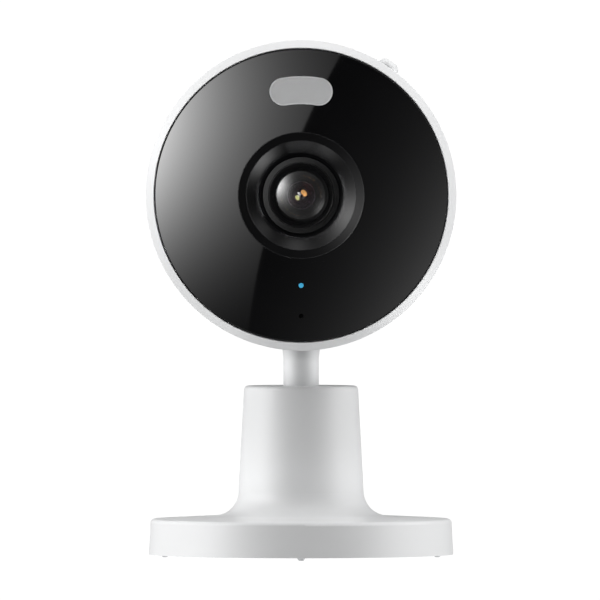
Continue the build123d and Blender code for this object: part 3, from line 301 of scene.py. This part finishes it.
# Each slot of the record with the function that makes its material and what that function is given.
RECIPES = {
    "white_shell": (moulded, (0.80, 0.805, 0.81), 0.36),
    "white_ring": (moulded, (0.82, 0.825, 0.83), 0.30),
    "white_button": (moulded, (0.80, 0.805, 0.81), 0.34),
    "stem_plastic": (moulded, (0.77, 0.775, 0.78), 0.38),
    "bottom_plastic": (moulded, (0.74, 0.745, 0.75), 0.55, 2600.0, 0.04 * MM),
    "foot_rubber": (rubber, (0.62, 0.63, 0.64)),
    "black_face": (gloss_black,),
    "bezel_plastic": (smooth_black, (0.005, 0.005, 0.0055), 0.13),
    "barrel_black": (turned_black, (0.004, 0.004, 0.0045), 0.34, 0.25 * MM, 0.06),
    "lens_glass": (coated_glass, 480.0, (0.93, 0.95, 1.0), 0.9),
    "diffuser": (frosted,),
    "status_light": (status_glow,),
    "black_rubber": (rubber, (0.02, 0.02, 0.021)),
    "adhesive": (rubber, (0.03, 0.03, 0.03)),
    "acetal": (moulded, (0.70, 0.69, 0.64), 0.42),
    "zinc_steel": (metal, (0.60, 0.61, 0.64), 0.3),
    "black_steel": (metal, (0.05, 0.05, 0.055), 0.4),
    "spring_steel": (metal, (0.50, 0.50, 0.52), 0.25),
    "ballast_iron": (metal, (0.20, 0.20, 0.21), 0.6, (1.0, 1.0, 1.0)),
    "brass": (metal, (0.72, 0.52, 0.22), 0.28),
    "circuit_board": (circuit_board,),
    "chip_black": (moulded, (0.022, 0.022, 0.023), 0.5, 4200.0),
    "sensor_glass": (coated_glass, 350.0, (0.12, 0.10, 0.2), 0.2),
    "lamp_lens": (coated_glass, 0.0, (0.7, 0.62, 0.7), 0.7),
    "lamp_yellow": (moulded, (0.75, 0.62, 0.08), 0.5),
    "heat_sink_metal": (metal, (0.62, 0.63, 0.66), 0.38, (1.0, 14.0, 1.0)),
    "connector_plastic": (moulded, (0.62, 0.58, 0.47), 0.45),
    "ribbon_film": (moulded, (0.62, 0.64, 0.68), 0.3),
    "coil_copper": (metal, (0.70, 0.32, 0.16), 0.35),
    "cone_paper": (rubber, (0.06, 0.06, 0.062)),
    "red_filter": (coated_glass, 520.0, (0.8, 0.35, 0.3), 0.6),
    "clear_filter": (coated_glass, 420.0, (0.9, 0.95, 0.95), 0.9),
}
MATERIALS = {slot: make(slot, *given) for slot, (make, *given) in RECIPES.items()}

# The lens's front glass and its inside look different from the rest of their slots.
# The front glass is tinted dark, which paints the shade inside the lens.
FRONT_GLASS = coated_glass("front_glass", 0.0, (0.17, 0.165, 0.20), 1.0, mirror=1.0)
LENS_INSIDE = turned_black("lens_inside", (0.004, 0.004, 0.0045), 0.5, 0.3 * MM, 0.1)
BY_NODE = {"front_lens": FRONT_GLASS, "lens_spacers": LENS_INSIDE, "lens_retainer": LENS_INSIDE}

for entry in frame["record"]["subparts"]:
    mesh = NODES[entry["node"]].data
    mesh.materials.clear()
    mesh.materials.append(BY_NODE.get(entry["node"], MATERIALS[entry["material_slot"]]))


# ---- detail pieces ------------------------------------------------------------------------------
DEPTH_AXIS = Vector((0.0, 1.0, 0.0))


def detail(name, mesh, material, slot):
    """Smooth piece that rides on the head."""
    mesh.shade_smooth()
    mesh.materials.append(material)
    piece = bpy.data.objects.new(name, mesh)
    bpy.context.scene.collection.objects.link(piece)
    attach(piece, "head")


def bead(name, loop, radius, material, slot, sides=10):
    """Thin round bead along a closed loop of points that lies in a plane across Y."""
    points = [Vector(p) for p in loop]
    corners = []
    faces = []
    for i, point in enumerate(points):
        following = (i + 1) % len(points)
        out = (points[following] - points[i - 1]).normalized().cross(DEPTH_AXIS).normalized()
        here, there = i * sides, following * sides
        for k in range(sides):
            turn = TURN * k / sides
            corners.append(point + (out * math.cos(turn) + DEPTH_AXIS * math.sin(turn)) * radius)
            beside = (k + 1) % sides
            faces.append((here + k, here + beside, there + beside, there + k))
    mesh = bpy.data.meshes.new(name)
    mesh.from_pydata([tuple(c) for c in corners], [], faces)
    detail(name, mesh, material, slot)


def polar(centre, radius, turn):
    """Point in the X-Z plane at a radius and a turn about a centre."""
    return centre[0] + radius * math.cos(turn), centre[1] + radius * math.sin(turn)


def arc(centre, radius, start, end, steps):
    """Points on an arc, both ends included."""
    return [polar(centre, radius, start + (end - start) * i / steps) for i in range(steps + 1)]


def ring_loop(radius, depth, steps=180):
    """Circle about the lens axis at a depth along Y."""
    return [(x, depth, z) for x, z in arc((0.0, LENS_Z), radius, 0.0, TURN, steps)[:-1]]


def window_loop(half_height, depth, steps=24):
    """Outline of the curved window: two arcs about the lens axis joined by round ends."""
    axis = (0.0, LENS_Z)
    left = TURN / 4 + WINDOW_HALF_TURN
    right = TURN / 4 - WINDOW_HALF_TURN
    left_end = polar(axis, WINDOW_MIDDLE_R, left)
    right_end = polar(axis, WINDOW_MIDDLE_R, right)
    outline = arc(axis, WINDOW_MIDDLE_R + half_height, left, right, steps)
    outline += arc(right_end, half_height, right, right - TURN / 2, steps)[1:-1]
    outline += arc(axis, WINDOW_MIDDLE_R - half_height, right, left, steps)
    outline += arc(left_end, half_height, left + TURN / 2, left, steps)[1:-1]
    return [(x, depth, z) for x, z in outline]


LIP_SINK = 0.05 * MM  # how far a lip's middle line lies behind the surface that it edges
LIP_R = 0.14 * MM
LIP_WHITE = moulded("window_lip", (0.80, 0.805, 0.81), 0.3)
LIP_LOOP = window_loop(WINDOW_HALF_HEIGHT - 1.5 * LIP_R, WINDOW_LOW.y + LIP_SINK)
bead("window_lip", LIP_LOOP, LIP_R, LIP_WHITE, "diffuser")

RIM_WIDTH = 1.67 * MM
RIM_LIP_R = 0.09 * MM
# The lip is a real bead, but its white is paler than the ring's: a painted highlight along the rim's inner
# edge.
RIM_HIGHLIGHT_WHITE = moulded("rim_lip", (0.9, 0.905, 0.91), 0.12, coat=1.0)
RIM_LOOP = ring_loop(HEAD_R - RIM_WIDTH, FRONT_Y + LIP_SINK)
bead("rim_lip", RIM_LOOP, RIM_LIP_R, RIM_HIGHLIGHT_WHITE, "white_ring")

GLINT_Y = GLASS_HIGH.y + 0.35 * MM  # just behind the front glass
GLINT_FLATNESS = 0.25


def painted_glint(name, clock, off, size, squash, colour, glow):
    """Painted reflection inside the lens: a flattened dome that faces forward and glows in its colour.

    Its middle is off the lens axis by off, towards the clock angle from +X, and squash narrows it that way.
    """
    n = Finish(name)
    n.colours(n.noise(2500.0, detail=3.0), *dye(colour, 0.25), start=0.35, end=0.65)
    n.gloss(n.noise(3000.0), 0.05, 0.12)
    # The emission paints a coloured reflection of the lens coatings; the dome is no lamp.
    n.set(IOR=1.7, Emission_Color=(*colour, 1.0), Emission_Strength=glow)
    dome = bmesh.new()
    bmesh.ops.create_uvsphere(dome, u_segments=32, v_segments=16, radius=size)
    turn = math.radians(clock)
    for vertex in dome.verts:
        x, y, z = vertex.co
        outward = off + x * squash
        vertex.co = (
            outward * math.cos(turn) - z * math.sin(turn),
            GLINT_Y + y * GLINT_FLATNESS,
            LENS_Z + outward * math.sin(turn) + z * math.cos(turn),
        )
    mesh = bpy.data.meshes.new(name)
    dome.to_mesh(mesh)
    dome.free()
    detail(name, mesh, n.material, "lens_glass")


# Two glowing domes paint the coloured reflections of the lens coatings, one gold and one green.
painted_glint(
    "painted_glint_gold", clock=38.0, off=0.72 * MM, size=0.75 * MM, squash=0.72,
    colour=(0.80, 0.40, 0.13), glow=1.4,
)
painted_glint(
    "painted_glint_green", clock=215.0, off=0.95 * MM, size=0.55 * MM, squash=0.6,
    colour=(0.42, 0.42, 0.16), glow=1.5,
)

IRIS_R = 2.7 * MM
IRIS_BEAD_R = 0.06 * MM
IRIS_METAL = metal("iris_ring", (0.35, 0.33, 0.38), 0.3)
bead("iris_ring", ring_loop(IRIS_R, GLINT_Y), IRIS_BEAD_R, IRIS_METAL, "barrel_black")

# Rounded edges of the black parts, each a thin line that catches the light.
EDGE_BLACK = smooth_black("edge_black", (0.02, 0.02, 0.022), 0.1, 0.9)
EDGE_R = 0.055 * MM
EDGE_INSET = 0.06 * MM
for name, slot, radius, depth in (
    ("bezel_edge", "bezel_plastic", BEZEL_R - EDGE_INSET, FACE_Y + EDGE_INSET),
    ("cone_edge", "bezel_plastic", BEZEL_R - CONE_INSET, FACE_Y + CONE_DEPTH),
    ("barrel_edge", "barrel_black", BARREL_R - EDGE_INSET, BARREL_LOW.y + EDGE_INSET / 2),
    ("seat_edge", "barrel_black", GLASS_R + 2 * EDGE_INSET, BARREL_LOW.y + EDGE_INSET / 3),
):
    bead(name, ring_loop(radius, depth), EDGE_R, EDGE_BLACK, slot)


# ---- camera -------------------------------------------------------------------------------------
CAMERA_DISTANCE = 4.0
CAMERA_ELEVATION = math.radians(0.76)
FRAME_WIDTH = 0.1318  # what the picture spans at the aim point
AIM = Vector((-0.00024, 0.0, 0.0565))
SENSOR = 36.0  # millimetres, as Blender counts it


def facing(start, target):
    """Rotation that turns a lamp or camera at start towards target."""
    return (target - start).to_track_quat("-Z", "Y")


camera_data = bpy.data.cameras.new("camera")
camera_data.sensor_width = SENSOR
camera_data.lens = SENSOR * CAMERA_DISTANCE / FRAME_WIDTH
camera_data.clip_end = 5 * CAMERA_DISTANCE
camera = bpy.data.objects.new("camera", camera_data)
aside = Vector((0.0, -math.cos(CAMERA_ELEVATION), math.sin(CAMERA_ELEVATION)))
camera.location = AIM + aside * CAMERA_DISTANCE
camera.rotation_mode = "QUATERNION"
camera.rotation_quaternion = facing(camera.location, AIM)
bpy.context.scene.collection.objects.link(camera)
bpy.context.scene.camera = camera
bpy.context.scene.view_settings.view_transform = "Standard"


# ---- lamps --------------------------------------------------------------------------------------
LAMP_TARGET = Vector((0.0, 0.0, LENS_Z * 0.75))


def soft_box(name, place, width, depth, power):
    """Soft area light at a place counted from LAMP_TARGET, which it is aimed at."""
    light = bpy.data.lights.new(name, "AREA")
    light.shape = "RECTANGLE"
    light.size = width
    light.size_y = depth
    light.energy = power
    lamp = bpy.data.objects.new(name, light)
    lamp.location = LAMP_TARGET + Vector(place)
    lamp.rotation_mode = "QUATERNION"
    lamp.rotation_quaternion = facing(lamp.location, LAMP_TARGET)
    lamp.visible_glossy = False
    bpy.context.scene.collection.objects.link(lamp)


SIDE_TURN = math.radians(80.0)  # how far the side boxes stand from the front
SIDE_X = math.sin(SIDE_TURN)
SIDE_Y = -math.cos(SIDE_TURN)
soft_box("left_box", (-SIDE_X, SIDE_Y, 0.0), width=0.8, depth=1.0, power=11.0)
soft_box("right_box", (SIDE_X, SIDE_Y, 0.0), width=0.8, depth=1.0, power=10.0)
soft_box("top_box", (0.0, 0.05, 1.0), width=1.2, depth=1.2, power=13.0)
soft_box("low_box", (0.0, -0.02, -0.6), width=1.0, depth=1.0, power=3.0)


# ---- room ---------------------------------------------------------------------------------------
# Soft panels that only glossy surfaces mirror: degrees off the lens axis, clock angle from +X in
# degrees, strength, and how tightly the panel's light falls off.
PANELS = (
    (105.0, 156.0, 1.5, 4.5),
    (70.0, 158.0, 4.4, 14.0),
    (45.0, 180.0, 0.5, 10.0),
    (70.0, -32.0, 0.45, 26.0),
    (98.0, -42.0, 8.0, 24.0),
    (98.0, -118.0, 2.8, 30.0),
    (98.0, 84.0, 2.8, 28.0),
    (98.0, 40.0, 2.0, 30.0),
)
ROOM_LIGHT = 0.06
BACKDROP_LIGHT = 1.05
WHITE = (1.0, 1.0, 1.0, 1.0)

world = bpy.data.worlds.new("studio")
bpy.context.scene.world = world
world.use_nodes = True
room = Tree(world.node_tree)
direction = room.add("ShaderNodeTexCoord").outputs["Generated"]
panels = 0.0
for off_axis, clock, strength, tightness in PANELS:
    tilt, turn = math.radians(off_axis), math.radians(clock)
    toward = room.add("ShaderNodeVectorMath", operation="DOT_PRODUCT")
    room.link(direction, toward.inputs[0])
    toward.inputs[1].default_value = (
        math.sin(tilt) * math.cos(turn),
        -math.cos(tilt),
        math.sin(tilt) * math.sin(turn),
    )
    fall = room.math("MULTIPLY", room.math("SUBTRACT", toward.outputs["Value"], 1.0), tightness)
    panel = room.math("MULTIPLY", room.math("EXPONENT", fall), strength)
    panels = room.math("ADD", panel, panels)

ray = room.add("ShaderNodeLightPath").outputs
seen_panels = room.math("MULTIPLY", panels, ray["Is Glossy Ray"])
lighting = room.tree.nodes["Background"]
lighting.inputs["Color"].default_value = WHITE
room.link(room.math("ADD", seen_panels, ROOM_LIGHT), lighting.inputs["Strength"])
backdrop = room.add("ShaderNodeBackground")
backdrop.inputs["Color"].default_value = WHITE
backdrop.inputs["Strength"].default_value = BACKDROP_LIGHT
mix = room.add("ShaderNodeMixShader")
room.link(ray["Is Camera Ray"], mix.inputs["Fac"])
room.link(lighting.outputs["Background"], mix.inputs[1])
room.link(backdrop.outputs["Background"], mix.inputs[2])
room.link(mix.outputs["Shader"], room.tree.nodes["World Output"].inputs["Surface"])


# ---- cards that the polished face mirrors -------------------------------------------------------
CARD_GAP = 0.25  # from the face forward to the cards
MIRROR_SHARE = CARD_GAP / (FACE_Y - camera.location.y)


def glow_card(name, outline, peak, start_x, growth, middle_z, slope, bell, ceiling):
    """Card with a smooth falloff, in front of the face, where only reflections see it.

    The outline is in millimetres from the lens axis, as it shows on the face. The card's light is
    peak * exp(growth * (x - start_x) + slope * h - bell * h * h) with h = z - middle_z, at most ceiling.
    """
    n = Finish(name)
    split = n.add("ShaderNodeSeparateXYZ")
    n.link(n.place, split.inputs["Vector"])
    across = n.math("MULTIPLY", n.math("SUBTRACT", split.outputs["X"], start_x), growth)
    height = n.math("SUBTRACT", split.outputs["Z"], middle_z)
    upward = n.math("MULTIPLY", n.math("SUBTRACT", slope, n.math("MULTIPLY", height, bell)), height)
    light = n.math("MULTIPLY", n.math("EXPONENT", n.math("ADD", across, upward)), peak)
    n.link(n.math("MINIMUM", light, ceiling), n.shader.inputs["Emission Strength"])
    n.set(Base_Color=(0.0, 0.0, 0.0, 1.0), Emission_Color=WHITE, Specular_IOR_Level=0.0)
    n.material.cycles.emission_sampling = "NONE"
    mesh = bpy.data.meshes.new(name)
    mesh.from_pydata([(x * MM, 0.0, z * MM) for x, z in outline], [], [tuple(range(len(outline)))])
    mesh.materials.append(n.material)
    card = bpy.data.objects.new(name, mesh)
    bpy.context.scene.collection.objects.link(card)
    face_middle = Vector((0.0, FACE_Y, LENS_Z))
    card.location = face_middle + (face_middle - camera.location) * MIRROR_SHARE
    card.location.y = FACE_Y - CARD_GAP
    card.scale = (1 + MIRROR_SHARE, 1.0, 1 + MIRROR_SHARE)
    card.visible_camera = False
    card.visible_diffuse = False
    card.visible_shadow = False
    card.visible_transmission = False


# The cards meet along a shallow parabola, given in millimetres from the lens axis.
CARD_REACH = 36.0
EDGE_STEPS = 24
EDGE_MIDDLE = -5.14
EDGE_LEAN = 0.329
EDGE_BEND = 0.00386


def sheen_edge(z):
    """Where the parabola is at a height."""
    return EDGE_MIDDLE + EDGE_LEAN * z + EDGE_BEND * z * z


heights = [CARD_REACH * (1 - 2 * i / EDGE_STEPS) for i in range(EDGE_STEPS + 1)]
SHEEN_EDGE = [(sheen_edge(z), z) for z in heights]
LEFT_SIDE = [(-CARD_REACH, -CARD_REACH), (-CARD_REACH, CARD_REACH)]
RIGHT_SIDE = [(CARD_REACH, CARD_REACH), (CARD_REACH, -CARD_REACH)]
glow_card(
    "sheen_left", SHEEN_EDGE + LEFT_SIDE,
    peak=8.25, start_x=-0.0222, growth=-88.8, middle_z=0.0219, slope=0.0, bell=1260.0, ceiling=14.5,
)
glow_card(
    "sheen_right", SHEEN_EDGE[::-1] + RIGHT_SIDE,
    peak=0.6, start_x=0.0305, growth=95.0, middle_z=0.0, slope=-50.0, bell=0.0, ceiling=3.0,
)

bpy.context.view_layer.update()
